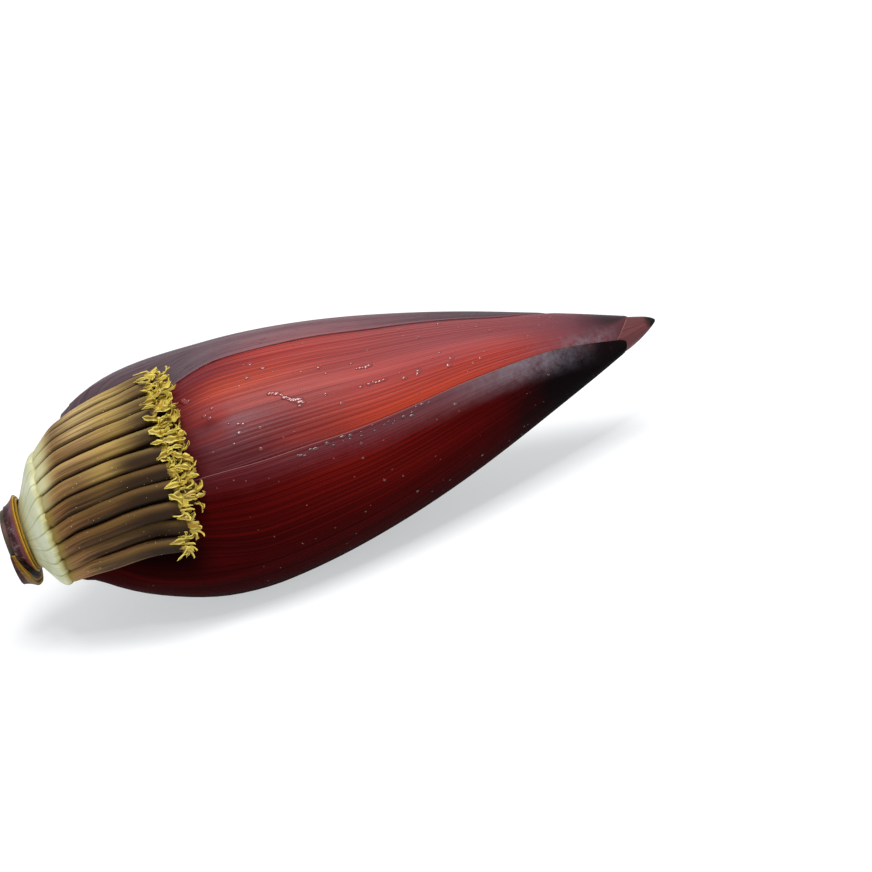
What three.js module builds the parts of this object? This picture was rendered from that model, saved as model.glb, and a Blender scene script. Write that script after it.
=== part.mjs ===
// A banana blossom: the pointed flower bud of a banana plant, cut with a short stub of its stalk
// and laid on its side. Leathery bracts wrap round the bud one over another, and near the stalk
// one bract has been pulled off, which bares the double row of florets that it covered.
//
// The bud's axis is level and runs along +X, from the cut end of the stalk to the tip. The origin
// is on the surface that the bud rests on, under the middle of its box. A place on the bud is
// given by x, the distance from the cut end, an angle about the axis and a radius. The angle is 0
// on the near side (-Y), 90 on top, and -90 where the bud rests. Lengths are in millimetres and
// angles in degrees.
import * as THREE from "three";

const { clamp, degToRad, euclideanModulo, lerp, radToDeg, smoothstep } = THREE.MathUtils;

// ---- driving dimensions ----
const bud = {
  length: 273, // cut end of the stalk to the tip
  widest: 51, // largest radius
  shoulder: 13, // where the swelling begins
  apex: 279, // where its outline would close to a point
  swell: 0.46, // how fast the bud fills out from the shoulder
  taper: 1.1, // how straight it runs to the tip
  settled: 2.6, // how far the soft underside is pressed flat
};
// Its underside fills out more slowly behind the neck, by this much round this angle.
const slimmer = { by: 5.6, towards: -65, within: [20, 85], rise: [17, 30], fall: [16, 80] };
const axisHeight = bud.widest - bud.settled;

// Towards its tip the bud is turned a little, and near its shoulder it sits higher than the stalk.
const twist = { angle: 9, from: 150, to: 230 };
const lift = { height: 3.2, rise: [14, 34], fall: [50, 100] };

const stalk = { radius: 12.6, neck: 14.2, collar: 8.6 };
const cushion = { start: 8, end: 19.4, back: 20.4, height: 14.6 }; // the florets grow from its rim
const core = { radius: 10.5, end: 150, endRadius: 4 }; // the pale axis inside the bud
const coreSteps = [30, 42, 54, 66, 80, 96, 114];
const heart = { from: coreSteps[0], to: 266, tip: 269 }; // what is packed round the core
const clearance = 0.5; // between pieces that lie against each other

// The bared hand of florets, over part of the near side and the top.
const hand = {
  start: 21,
  end: 86,
  from: -33,
  to: 113.5,
  share: 13.2, // of its width at the roots, for one floret
  apart: 13.5, // the lowest floret lies this much further round
  raised: 2.4, // and the inner floret in that wider gap lies this much nearer the outside
  gather: { towards: 34, by: 0.3, from: 22, to: 64 }, // the florets fan out, then run side by side
  fuller: 5.3, // how much the hand stands out beyond the bud at its start
  stack: [9.6, 11], // thickness of its two rows, at their start and further on
  hollow: [72, 110], // where the hollow under them runs out
};

// Bracts from the outermost inwards. Each covers the angles from..to and closes to a blunt point
// at tipAt, on the side given by tipAngle.
const bracts = [
  { name: "lower_bract", start: 17.6, from: -178, to: 22, tipAngle: -20, tipAt: 259 },
  { name: "upper_bract", start: 18.9, from: 82, to: 242, tipAngle: 150, tipAt: 238 },
  { name: "front_bract", start: 20.1, from: -58, to: 162, tipAngle: 105, tipAt: 263 },
  { name: "tip_bract", start: 132, from: -118, to: 202, tipAngle: 40, tipAt: 273 },
];
const bractPoint = 30; // length over which a bract narrows to its point
const wall = { atTip: 0.7, full: 1.8 };
const gap = { atTip: 0.5, full: 0.7 };
const margin = { outside: 18, inside: 12 }; // the step that an overlying margin makes is spread this far

// All the bracts share one grid, so that they nest. Near the point of each one it has rows of its own.
const grid = { around: 10, along: 15, first: 27, point: [0, 0.24, 0.45, 0.64, 0.8, 0.92, 1] };

// The bases of two bracts that were cut away, crescents that flare from the stalk to a cut rim.
const bractBases = [
  { name: "bract_base_upper", from: -58, to: 140, foot: 13.8, rim: 18.4, thick: 2.8 },
  { name: "bract_base_lower", from: -188, to: -2, foot: 18.5, rim: 21.2, thick: 3.4 },
];
const upperRim = 8.4; // how far the upper base reaches along the stalk
const lowerLip = { length: 1.6, from: 60, to: 90 }; // how far the lower one reaches past the upper's horn

// The two rows of florets: depths of their tops and undersides below the hand's surface.
const rows = [
  { name: "outer_floret", count: 10, end: 78, top: [0.6, 0], under: [5.4, 3.8] },
  { name: "inner_floret", count: 9, end: hand.end, top: [6.1, 0.6], under: [10.1, 6] },
];
const crown = { length: 8, flare: 0.7 }; // the ring of curled lobes that ends each floret
const shorter = 6; // how much shorter the lowest florets are

const colours = {
  lower_bract: 0x5a1a1c,
  upper_bract: 0x6a4450,
  front_bract: 0x9c3028,
  tip_bract: 0x6e3a34,
  bud_heart: 0xd9c98a,
  stalk: 0xd8dcb0,
  bract_base: 0x5c3038,
  outer_floret: 0x7d6238,
  inner_floret: 0x8f7a3e,
};

// ---- the bud's form ----
const crest = bud.swell / (bud.swell + bud.taper);

function budRadius(x) {
  const t = clamp((x - bud.shoulder) / (bud.apex - bud.shoulder), 0, 1);
  return bud.widest * (t / crest) ** bud.swell * ((1 - t) / (1 - crest)) ** bud.taper;
}

const handRadius = (x) => budRadius(x) + hand.fuller * Math.exp((hand.start - x) / 6);

// Where a line that leaves the florets' roots at an angle has got to at x.
function gathered(angle, x) {
  const { towards, by, from, to } = hand.gather;
  return lerp(angle, towards, by * Math.sin((Math.PI / 2) * clamp((x - from) / (to - from), 0, 1)));
}

// Distance in millimetres, round the bud, from an angle to the nearer end of a range: positive inside it.
function insideBy(angle, from, to, radius) {
  const offMiddle = Math.abs(euclideanModulo(angle - (from + to) / 2 + 180, 360) - 180);
  return degToRad((to - from) / 2 - offMiddle) * radius;
}

// 1 at the angles that the hand of florets lies over, 0 away from it.
function besideHand(x, angle) {
  const radius = clamp(budRadius(x), 26, 46);
  return smoothstep(
    insideBy(angle, gathered(hand.from, x), gathered(hand.to, x), radius),
    -17,
    -1,
  );
}

function slimmerBy(x, angle) {
  const { by, towards, within, rise, fall } = slimmer;
  const off = Math.abs(euclideanModulo(angle - towards + 180, 360) - 180);
  const alongside = smoothstep(x, ...rise) * (1 - smoothstep(x, ...fall));
  return by * alongside * (1 - smoothstep(off, ...within));
}

// Outer surface of the wrapped bracts, hollowed where the hand lies.
function budSurface(x, angle) {
  const stack = lerp(...hand.stack, smoothstep(x, hand.start, 40));
  const hollow = besideHand(x, angle) * (1 - smoothstep(x, ...hand.hollow));
  return lerp(budRadius(x) - slimmerBy(x, angle), handRadius(x) - stack, hollow);
}

// A point of the bud. Layers near the surface that the bud rests on are pressed flat together.
function place(x, angle, radius, target) {
  const turn = degToRad(angle + twist.angle * smoothstep(x, twist.from, twist.to));
  const lifted = lift.height * smoothstep(x, ...lift.rise) * (1 - smoothstep(x, ...lift.fall));
  const height = axisHeight + lifted + radius * Math.sin(turn);
  const pressed = 0.8 * Math.max(0, budRadius(x) - radius);
  return target.set(x, -radius * Math.cos(turn), Math.max(height, pressed));
}

// ---- closed three.js shapes, bent to the bud ----
// Moves each vertex by a function of its own place, so that shared corners stay shared.
function bend(geometry, move) {
  const position = geometry.getAttribute("position");
  const point = new THREE.Vector3();
  for (let i = 0; i < position.count; i++) {
    point.fromBufferAttribute(position, i);
    move(point);
    position.setXYZ(i, point.x, point.y, point.z);
  }
  geometry.deleteAttribute("uv");
  geometry.computeVertexNormals();
  return geometry;
}

// A rod with closed ends: along runs from 0 to 1, and right and up are on the unit circle or at its middle.
function bentRod(around, along, move) {
  const rod = new THREE.CylinderGeometry(1, 1, 1, around, along);
  return bend(rod, (p) => move(p.y + 0.5, -p.x, p.z, p));
}

// An outline of [radius, x] pairs turned round the bud's axis.
function turned(outline, around, move) {
  const points = outline.map(([radius, x]) => new THREE.Vector2(radius, x));
  return bend(new THREE.LatheGeometry(points, around), (p) =>
    move(p.y, radToDeg(Math.atan2(p.z, p.x)), Math.hypot(p.x, p.z), p),
  );
}

// A sheet with an outside and an inside, of rows along the bud and columns round it. Both sides
// split their squares the same way, so sheets that share a grid nest without touching.
function sheet(rowCount, columnCount, outside, inside) {
  const points = [];
  for (const side of [outside, inside]) {
    for (let row = 0; row < rowCount; row++) {
      for (let column = 0; column < columnCount; column++) {
        points.push(...side(row, column, new THREE.Vector3()));
      }
    }
  }
  const at = (row, column, inner) => (inner * rowCount + row) * columnCount + column;
  const index = [];
  const square = (a, b, c, d) => index.push(a, b, c, a, c, d);
  const corners = (row, column, inner) => [
    at(row, column, inner),
    at(row + 1, column, inner),
    at(row + 1, column + 1, inner),
    at(row, column + 1, inner),
  ];
  const lastRow = rowCount - 1;
  const lastColumn = columnCount - 1;
  for (let row = 0; row < lastRow; row++) {
    for (let column = 0; column < lastColumn; column++) {
      square(...corners(row, column, 0));
      const [a, b, c, d] = corners(row, column, 1);
      index.push(a, c, b, a, d, c);
    }
    square(at(row, 0, 0), at(row, 0, 1), at(row + 1, 0, 1), at(row + 1, 0, 0));
    square(
      at(row, lastColumn, 1),
      at(row, lastColumn, 0),
      at(row + 1, lastColumn, 0),
      at(row + 1, lastColumn, 1),
    );
  }
  for (let column = 0; column < lastColumn; column++) {
    square(at(0, column, 1), at(0, column, 0), at(0, column + 1, 0), at(0, column + 1, 1));
    square(
      at(lastRow, column, 0),
      at(lastRow, column, 1),
      at(lastRow, column + 1, 1),
      at(lastRow, column + 1, 0),
    );
  }
  const geometry = new THREE.BufferGeometry();
  geometry.setAttribute("position", new THREE.Float32BufferAttribute(points, 3));
  geometry.setIndex(index);
  geometry.computeVertexNormals();
  return geometry;
}

function piece(name, geometry, colour) {
  const look = new THREE.MeshStandardMaterial({ color: colour, roughness: 0.5, metalness: 0 });
  const mesh = new THREE.Mesh(geometry, look);
  mesh.name = name;
  return mesh;
}

// ---- bracts ----
const fullness = (x) => smoothstep(budRadius(x), 5, 30);
const wallAt = (x) => lerp(wall.atTip, wall.full, fullness(x));
const gapAt = (x) => lerp(gap.atTip, gap.full, fullness(x));

// The angles that a bract covers at x. Towards its tip both edges curve in to the tip's side.
function bractEdges(bract, x) {
  const s = clamp((x - bract.tipAt + bractPoint) / bractPoint, 0, 0.98);
  const closed = 1 - Math.sqrt(1 - s * s);
  return [lerp(bract.from, bract.tipAngle, closed), lerp(bract.to, bract.tipAngle, closed)];
}

// How fully a bract covers a place: 1 well inside its margin, 0 well outside.
function covers(bract, x, angle) {
  const inside = insideBy(angle, ...bractEdges(bract, x), budRadius(x));
  return smoothstep(Math.min(inside, bract.tipAt - x), -margin.outside, margin.inside);
}

// Depth of the outer face of layer number `layer`, below the outer surface.
function depthOf(layer, x, angle) {
  const covering = bracts.slice(0, layer).reduce((sum, b) => sum + covers(b, x, angle), 0);
  return covering * (wallAt(x) + gapAt(x));
}

// Where the rows of a bract's grid lie.
function bractRows(bract) {
  const pointStart = bract.tipAt - bractPoint - 6;
  const shared = bracts.map((b) => b.start).filter((x) => x < grid.first);
  for (let x = grid.first; x < pointStart - 3; x += grid.along) shared.push(x);
  const point = grid.point.map((t) => lerp(pointStart, bract.tipAt, t));
  return [...shared.filter((x) => x >= bract.start), ...point];
}

// Round the neck the bracts start early, but behind the florets' cushion they are squeezed up past it.
function pastCushion(x, angle) {
  const [early, late] = [bracts[0].start, 25];
  if (x > late) return x;
  const squeezed = lerp(cushion.back + 0.8, late, (x - early) / (late - early));
  return lerp(x, squeezed, Math.min(1, 2 * besideHand(x, angle)));
}

function bractShell(bract, layer) {
  const stations = bractRows(bract);
  const columns = (bract.to - bract.from) / grid.around + 1;
  const face = (inner) => (row, column, target) => {
    const angle = lerp(...bractEdges(bract, stations[row]), column / (columns - 1));
    const x = pastCushion(stations[row], angle);
    const depth = inner ? depthOf(layer + 1, x, angle) - gapAt(x) : depthOf(layer, x, angle);
    const least = inner ? 0.6 : 1.6;
    return place(x, angle, Math.max(budSurface(x, angle) - depth, least), target);
  };
  return sheet(stations.length, columns, face(false), face(true));
}

// ---- heart of the bud: young bracts and florets, still packed as one soft body ----
const coreRadius = (x) => lerp(core.radius, core.endRadius, x / core.end);

function heartRadius(x, angle) {
  return Math.max(budSurface(x, angle) - depthOf(bracts.length, x, angle) - clearance, 1);
}

// In its outline a radius of 0 is the axis, 1 the bore for the core and 2 the outside.
function budHeart() {
  const outside = [[2, heart.from]];
  for (let x = grid.first + grid.along; x < heart.to; x += grid.along) outside.push([2, x]);
  const boreEnd = core.end + 1;
  const bore = [boreEnd, ...coreSteps.toReversed()].map((x) => [1, x]);
  const outline = [...outside, [2, heart.to], [0, heart.tip], [0, boreEnd], ...bore, outside[0]];
  return turned(outline, 360 / grid.around, (x, angle, part, p) => {
    const radii = [0, coreRadius(x) + clearance, heartRadius(x, angle)];
    place(x, angle, radii[Math.round(part)], p);
  });
}

// ---- stalk: the cut stub, the neck with the cushion of the hand, and the core inside the bud ----
function stalkBody() {
  const { radius, neck, collar } = stalk;
  const outline = [
    [0, 0],
    [radius - 1, 0],
    [radius + 0.3, 1],
    [radius, collar - 2],
    [neck - 0.4, collar],
    ...[12, 14.6, 17, cushion.end].map((x) => [neck, x]),
    [neck - 0.8, cushion.back],
    ...[cushion.back, ...coreSteps].map((x) => [coreRadius(x), x]),
    [core.endRadius - 0.5, core.end - 3],
    [0, core.end],
  ];
  return turned(outline, 30, (x, angle, r, p) => {
    const onNeck = smoothstep(r, neck - 1.6, neck - 0.9);
    const rise = cushion.height * smoothstep(x, cushion.start, cushion.end - 0.8);
    place(x, angle, r + rise * onNeck * besideHand(x, angle), p);
  });
}

// ---- bases of two bracts that were cut away ----
// The two meet along this line, where the upper one lies in front of the lower one.
const seam = (angle) => lerp(2.2, 5.2, smoothstep(-angle, 0, 45));

function bractBase({ name, from, to, foot, rim, thick }) {
  const [lastRow, lastColumn] = [4, 14];
  const bore = stalk.radius + 0.3 + clearance;
  const face = (inner) => (row, column, target) => {
    const along = row / lastRow;
    const across = column / lastColumn;
    const angle = lerp(from, to, across);
    const full = Math.sqrt(1 - 0.92 * (2 * across - 1) ** 2); // thinner towards the horns
    const [start, end] =
      name === "bract_base_upper"
        ? [seam(angle) + clearance, upperRim]
        : [0.2, seam(angle) + lowerLip.length * smoothstep(-angle, lowerLip.from, lowerLip.to)];
    const outer = lerp(lerp(bore + 0.7, foot, full), lerp(bore + 1.1, rim, full), along ** 1.5);
    const hollow = Math.max(bore, outer - thick * lerp(0.5, 1, full));
    const radius = inner ? lerp(bore, hollow, along ** 0.8) : outer;
    return place(lerp(start, end, along), angle, radius, target);
  };
  return sheet(lastRow + 1, lastColumn + 1, face(false), face(true));
}

// ---- florets ----
function floret(row, middle, halfWidth, raised) {
  const end = row.end - shorter * smoothstep(-middle, -8, 14);
  const crownStart = end - crown.length;
  return bentRod(6, 9, (along, right, up, p) => {
    const x = lerp(hand.start, end, along);
    const narrow = lerp(1, 0.9, smoothstep(x, crownStart - 10, crownStart));
    const base = middle + right * halfWidth * narrow;
    const angle = gathered(base, x);
    const root = lerp(0.86, 1, smoothstep(along, 0, 0.25));
    const top = lerp(...row.top, smoothstep(x, crownStart, end));
    const under = lerp(...row.under, smoothstep(x, hand.end - 22, end));
    const flare = crown.flare * Math.max(0, up) * smoothstep(x, crownStart, crownStart + 4);
    const depth = root * lerp(under, top, (up + 1) / 2) - raised * (1 - smoothstep(x, 56, end));
    place(x, angle, handRadius(x) - depth + flare, p);
  });
}

// ---- assembly ----
const blossom = new THREE.Group();
blossom.name = "banana_blossom";
blossom.add(piece("stalk", stalkBody(), colours.stalk));
bractBases.forEach((base) => blossom.add(piece(base.name, bractBase(base), colours.bract_base)));
blossom.add(piece("bud_heart", budHeart(), colours.bud_heart));
bracts.forEach((bract, layer) =>
  blossom.add(piece(bract.name, bractShell(bract, layer), colours[bract.name])),
);
rows.forEach((row, depth) => {
  for (let i = 0; i < row.count; i++) {
    // A floret of the inner row lies behind the gap between two of the outer row.
    const apart = i === 0 ? hand.apart / (depth + 1) : 0;
    const raised = i === 0 ? hand.raised * depth : 0;
    const middle = hand.to - hand.share * (row.count - i + (depth - 1) / 2) - apart;
    const name = `${row.name}_${String(i + 1).padStart(2, "0")}`;
    blossom.add(piece(name, floret(row, middle, hand.share * 0.46, raised), colours[row.name]));
  }
});

// The box of the whole bud stands centred over the origin.
const box = new THREE.Box3().setFromObject(blossom);
const centre = box.getCenter(new THREE.Vector3());
blossom.position.set(-centre.x, -centre.y, -box.min.z);

export default blossom;
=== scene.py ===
import math
import random

import bmesh
import bpy
from mathutils import Matrix, Vector, noise


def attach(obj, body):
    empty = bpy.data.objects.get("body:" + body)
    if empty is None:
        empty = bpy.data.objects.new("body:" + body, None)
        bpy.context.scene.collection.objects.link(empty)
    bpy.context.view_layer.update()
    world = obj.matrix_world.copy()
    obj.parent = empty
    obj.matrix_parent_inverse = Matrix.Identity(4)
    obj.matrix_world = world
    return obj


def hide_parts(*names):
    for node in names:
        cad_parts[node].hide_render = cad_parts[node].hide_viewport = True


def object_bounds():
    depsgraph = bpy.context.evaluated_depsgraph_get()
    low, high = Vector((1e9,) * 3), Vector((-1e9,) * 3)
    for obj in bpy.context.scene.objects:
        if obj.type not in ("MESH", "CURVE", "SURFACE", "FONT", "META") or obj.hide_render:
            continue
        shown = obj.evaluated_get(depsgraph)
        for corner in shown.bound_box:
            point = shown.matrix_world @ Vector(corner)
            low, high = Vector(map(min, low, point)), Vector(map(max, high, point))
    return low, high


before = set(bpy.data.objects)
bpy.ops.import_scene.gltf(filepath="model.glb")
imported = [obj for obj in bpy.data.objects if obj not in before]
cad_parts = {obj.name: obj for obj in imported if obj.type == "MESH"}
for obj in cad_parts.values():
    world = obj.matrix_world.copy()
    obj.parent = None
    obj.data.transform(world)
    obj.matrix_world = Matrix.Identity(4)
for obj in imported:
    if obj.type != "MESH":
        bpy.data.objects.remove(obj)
cadBox = [list(corner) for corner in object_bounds()]
mm = 0.001
boxMargin = 0.05 * mm  # what the florets keep clear of the frame's box
weld = 2e-7  # corners closer than this are one

# the bud's own form, in millimetres and degrees
bud = {
    "widest": 51, "shoulder": 13, "apex": 279, "swell": 0.46, "taper": 1.1,
    "resting": 0.8,  # how far a layer stays above the floor, as a share of its depth in the bud
}
turning = {"angle": 9, "start": 150, "end": 230}  # the tip is turned a little
lift = {"height": 3.2, "rise": (14, 34), "fall": (50, 100)}
slimmer = {  # the underside
    "by": 5.6, "towards": -65, "within": (20, 85), "rise": (17, 30), "fall": (16, 80),
}
hand = {
    "counts": (10, 9),  # florets in the outer and the inner row
    "start": 16.4, "from": -33, "to": 113.5, "share": 13.2, "apart": 13.5, "shorter": 6,
    "raised": 2.4,  # the inner floret in the widest gap
    "gatherTo": 34, "gatherBy": 0.3, "gathering": (22, 64),  # the florets fan out, then run side by side
    "fuller": 5.3, "fullAt": 21, "fade": 6,  # how the hand stands out beyond the bud
    "stack": (9.6, 11), "stacking": (21, 40),  # the hollow under its two rows
    "thinning": (60, 78), "thinned": 7.4, "out": 103,
    "reach": (16, 7), "reaching": (22, 45), "reachBelow": 17,  # how the bud gives way to it
    "girth": (26, 46),
}
neck = {
    "radius": 14.2, "start": 9, "slope": 1.75, "blend": 3, "close": 25.4,
    "beyond": 3, "edge": (-3.5, 2.5),  # how it widens beside the florets' roots
    "scallop": 2.2, "scalloping": (18.5, 23), "line": 0.14, "lining": (8.5, 12), "roundness": 0.98,
    "sunk": 1.7, "sink": (19.8, 23.4), "uneven": 2.6, "unevenEvery": 8, "under": 0.1,
}
crest = bud["swell"] / (bud["swell"] + bud["taper"])

# the axis runs through the middle of the stub's cut face
cutEnd = [v.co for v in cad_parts["stalk"].data.vertices if v.co.x < cadBox[0][0] + 0.2 * mm]
axisY = (min(p.y for p in cutEnd) + max(p.y for p in cutEnd)) / 2
axisZ = (min(p.z for p in cutEnd) + max(p.z for p in cutEnd)) / 2
axisHeight = axisZ / mm


def lerp(a, b, t):
    return a + (b - a) * t


def clamp(x, low=0.0, high=1.0):
    return min(max(x, low), high)


def smoothstep(x, low, high):
    t = clamp((x - low) / (high - low))
    return t * t * (3 - 2 * t)


def budRadius(x):
    t = clamp((x - bud["shoulder"]) / (bud["apex"] - bud["shoulder"]))
    return bud["widest"] * (t / crest) ** bud["swell"] * ((1 - t) / (1 - crest)) ** bud["taper"]


def handRadius(x):
    # The neck flares out to the florets' roots, and the florets run on over the bud.
    far = max(x, hand["start"] + 1)
    full = budRadius(far) + hand["fuller"] * math.exp((hand["fullAt"] - far) / hand["fade"]) - 0.5 * (far - x)
    flare = neck["radius"] + neck["slope"] * (x - neck["start"])
    blend = clamp(0.5 + 0.5 * (flare - full) / neck["blend"])
    return lerp(flare, full, blend) - neck["blend"] * blend * (1 - blend)


def gathered(angle, x):
    start, end = hand["gathering"]
    pull = math.sin(math.pi / 2 * clamp((x - start) / (end - start)))
    return lerp(angle, hand["gatherTo"], hand["gatherBy"] * pull)


def insideBy(angle, start, end, radius):
    # How far an angle lies between two margins, in mm, and below 0 when it is outside them.
    offMiddle = abs((angle - (start + end) / 2 + 180) % 360 - 180)
    return math.radians((end - start) / 2 - offMiddle) * radius


def besideHand(x, angle, reach=hand["reach"][1]):
    # 1 under the florets and 0 clear of them.
    low, high = gathered(hand["from"], x), gathered(hand["to"], x)
    upper = (angle - (low + high) / 2 + 180) % 360 > 180
    inside = insideBy(angle, low, high, clamp(budRadius(x), *hand["girth"]))
    return smoothstep(inside, -reach if upper else -hand["reachBelow"], -0.5)


def hollowDepth(x):
    # How deep the two rows of florets press into the bud.
    stack = lerp(*hand["stack"], smoothstep(x, *hand["stacking"]))
    stack = lerp(stack, hand["thinned"], smoothstep(x, *hand["thinning"]))
    return stack * (1 - clamp((x - hand["thinning"][1]) / (hand["out"] - hand["thinning"][1]))) ** 1.6


def slimmerBy(x, angle):
    off = abs((angle - slimmer["towards"] + 180) % 360 - 180)
    alongside = smoothstep(x, *slimmer["rise"]) * (1 - smoothstep(x, *slimmer["fall"]))
    return slimmer["by"] * alongside * (1 - smoothstep(off, *slimmer["within"]))


def budSurface(x, angle):
    hollow = besideHand(x, angle, lerp(*hand["reach"], smoothstep(x, *hand["reaching"])))
    return lerp(budRadius(x) - slimmerBy(x, angle), handRadius(x) - hollowDepth(x), hollow)


def place(x, angle, radius):
    turn = math.radians(angle + turning["angle"] * smoothstep(x, turning["start"], turning["end"]))
    lifted = lift["height"] * smoothstep(x, *lift["rise"]) * (1 - smoothstep(x, *lift["fall"]))
    height = axisHeight + lifted + radius * math.sin(turn)
    pressed = bud["resting"] * max(0, budRadius(x) - radius)
    return Vector((cadBox[0][0] + x * mm, axisY - radius * math.cos(turn) * mm, max(height, pressed) * mm))


def localFrame(x, angle, radius):
    # A point of the bud with its directions along, out and round.
    point = place(x, angle, radius)
    out = (place(x, angle, radius + 0.5) - point).normalized()
    along = place(x + 0.5, angle, radius) - point
    along = (along - out * along.dot(out)).normalized()
    return point, along, out, out.cross(along).normalized()


# meshes
def newMesh():
    bm = bmesh.new()
    bm.loops.layers.uv.new("UVMap")
    bm.verts.layers.float_vector.new("spot")  # along, round and margin, in mm and degrees
    bm.verts.layers.float.new("rib")
    return bm


def spread(bm, rows, columns, move):
    # A grid whose vertices are put where move(s, t) says; it gives a point, a spot and a rib.
    grid = bmesh.ops.create_grid(bm, x_segments=rows, y_segments=columns, size=0.5, calc_uvs=True)
    spot, rib = bm.verts.layers.float_vector["spot"], bm.verts.layers.float["rib"]
    for v in grid["verts"]:
        v.co, v[spot], v[rib] = move(v.co.x + 0.5, v.co.y + 0.5)
    return grid["verts"]


def tube(bm, rows, columns, move, finish=0):
    # A closed tube: move(s, turn), with turn in degrees, brings each end to one point.
    verts = spread(bm, rows, columns, lambda s, t: move(s, 360 * t))
    faces = {f for v in verts for f in v.link_faces}
    for face in faces:
        face.material_index = finish
    bmesh.ops.remove_doubles(bm, verts=verts, dist=weld)
    bmesh.ops.recalc_face_normals(bm, faces=[f for f in faces if f.is_valid])


def shell(bm, rowStops, columnStops, outer, inner):
    # A sheet with a wall: the grid is the inside, and what is extruded from it the outside.
    rows, columns = len(rowStops) - 1, len(columnStops) - 1
    bmesh.ops.create_grid(bm, x_segments=rows, y_segments=columns, size=0.5, calc_uvs=True)
    extruded = bmesh.ops.extrude_face_region(bm, geom=bm.faces[:])["geom"]
    raised = {v for v in extruded if isinstance(v, bmesh.types.BMVert)}
    spot, rib = bm.verts.layers.float_vector["spot"], bm.verts.layers.float["rib"]
    for v in bm.verts:
        row, column = rowStops[round((v.co.x + 0.5) * rows)], columnStops[round((v.co.y + 0.5) * columns)]
        v.co, v[spot], v[rib] = (outer if v in raised else inner)(row, column)
    bmesh.ops.recalc_face_normals(bm, faces=bm.faces[:])


def finished(bm, name, looks, nodes=(), crease=50):
    # Makes the piece. Edges sharper than crease stay sharp.
    bm.normal_update()
    for edge in bm.edges:
        edge.smooth = edge.calc_face_angle(0) < math.radians(crease)
    for face in bm.faces:
        face.smooth = True
    mesh = bpy.data.meshes.new(name)
    bm.to_mesh(mesh)
    bm.free()
    piece = bpy.data.objects.new(name, mesh)
    bpy.context.scene.collection.objects.link(piece)
    for look in looks:
        mesh.materials.append(look)
    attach(piece, "root")
    if nodes:
        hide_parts(*nodes)


def stops(start, end, step):
    # Even places from start up to end, without the end itself.
    count = max(1, round((end - start) / step))
    return [lerp(start, end, i / count) for i in range(count)]


# shader maths
def tone(code):
    # A colour written as six hex digits, as a linear colour.
    shares = [int(code[i:i + 2], 16) / 255 for i in (0, 2, 4)]
    return (*[c / 12.92 if c <= 0.04045 else ((c + 0.055) / 1.055) ** 2.4 for c in shares], 1.0)


def emptyTree(owner):
    owner.use_nodes = True
    owner.node_tree.nodes.clear()
    return owner.node_tree


class Tap:
    # One output of a material's node, to be used in sums.
    def __init__(self, look, socket):
        self.look = look
        self.socket = socket

    def __add__(self, other):
        return self.look.maths("ADD", self, other)

    def __sub__(self, other):
        return self.look.maths("SUBTRACT", self, other)

    def __rsub__(self, other):
        return self.look.maths("SUBTRACT", other, self)

    def __mul__(self, other):
        return self.look.maths("MULTIPLY", self, other)

    def __truediv__(self, other):
        return self.look.maths("DIVIDE", self, other)

    __radd__ = __add__

    def rise(self, low, high):
        # 0 below low, 1 above high, smooth between them.
        sockets = {"Value": self, "From Min": low, "From Max": high}
        return self.look.node("ShaderNodeMapRange", {"interpolation_type": "SMOOTHSTEP"}, sockets)

    def fall(self, low, high):
        return 1 - self.rise(low, high)

    def hump(self, low, middle, high):
        return self.rise(low, middle) * self.fall(middle, high)


class Look:
    def __init__(self, name):
        self.material = bpy.data.materials.new(name)
        self.tree = emptyTree(self.material)

    def node(self, kind, settings, sockets, output=0):
        node = self.tree.nodes.new(kind)
        for key, value in settings.items():
            setattr(node, key, value)
        for key, value in sockets.items():
            named = [s for s in node.inputs if s.name == key and not s.is_unavailable]
            socket = named[0] if named else node.inputs[key]
            self.feed(socket, value)
        outputs = [s for s in node.outputs if not s.is_unavailable]
        return Tap(self, outputs[output])

    def feed(self, socket, value):
        if isinstance(value, Tap):
            self.tree.links.new(value.socket, socket)
        elif isinstance(value, str):
            socket.default_value = tone(value)
        else:
            socket.default_value = value

    def maths(self, operation, a, b=0.0):
        node = self.tree.nodes.new("ShaderNodeMath")
        node.operation = operation
        self.feed(node.inputs[0], a)
        self.feed(node.inputs[1], b)
        return Tap(self, node.outputs[0])

    def mix(self, a, b, factor):
        settings = {"data_type": "RGBA", "clamp_factor": True}
        return self.node("ShaderNodeMix", settings, {"Factor": factor, "A": a, "B": b})

    def vector(self, x=0.0, y=0.0, z=0.0):
        return self.node("ShaderNodeCombineXYZ", {}, {"X": x, "Y": y, "Z": z})

    def noise(self, vector, scale, detail, roughness):
        sockets = {"Vector": vector, "Scale": scale, "Detail": detail, "Roughness": roughness}
        return self.node("ShaderNodeTexNoise", {}, sockets)

    def cells(self, vector, scale):
        # The distance from the nearest of many scattered points.
        return self.node("ShaderNodeTexVoronoi", {}, {"Vector": vector, "Scale": scale})

    def attribute(self, name, output=2):
        # One of the piece's own attributes: output 2 is a single value and output 1 a vector.
        return self.node("ShaderNodeAttribute", {"attribute_name": name}, {}, output)

    def spot(self):
        vector = self.attribute("spot", 1)
        return [self.node("ShaderNodeSeparateXYZ", {}, {"Vector": vector}, i) for i in range(3)]

    def object(self):
        # The place on the piece, in metres.
        return self.node("ShaderNodeTexCoord", {}, {}, 3)

    def bump(self, height, distance, strength):
        sockets = {"Height": height, "Distance": distance, "Strength": strength}
        return self.node("ShaderNodeBump", {}, sockets)

    def skin(self, sockets):
        # Ends the material in one Principled shader.
        shader = self.node("ShaderNodeBsdfPrincipled", {}, sockets)
        output = self.tree.nodes.new("ShaderNodeOutputMaterial")
        self.tree.links.new(shader.socket, output.inputs["Surface"])
        return self.material


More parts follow.
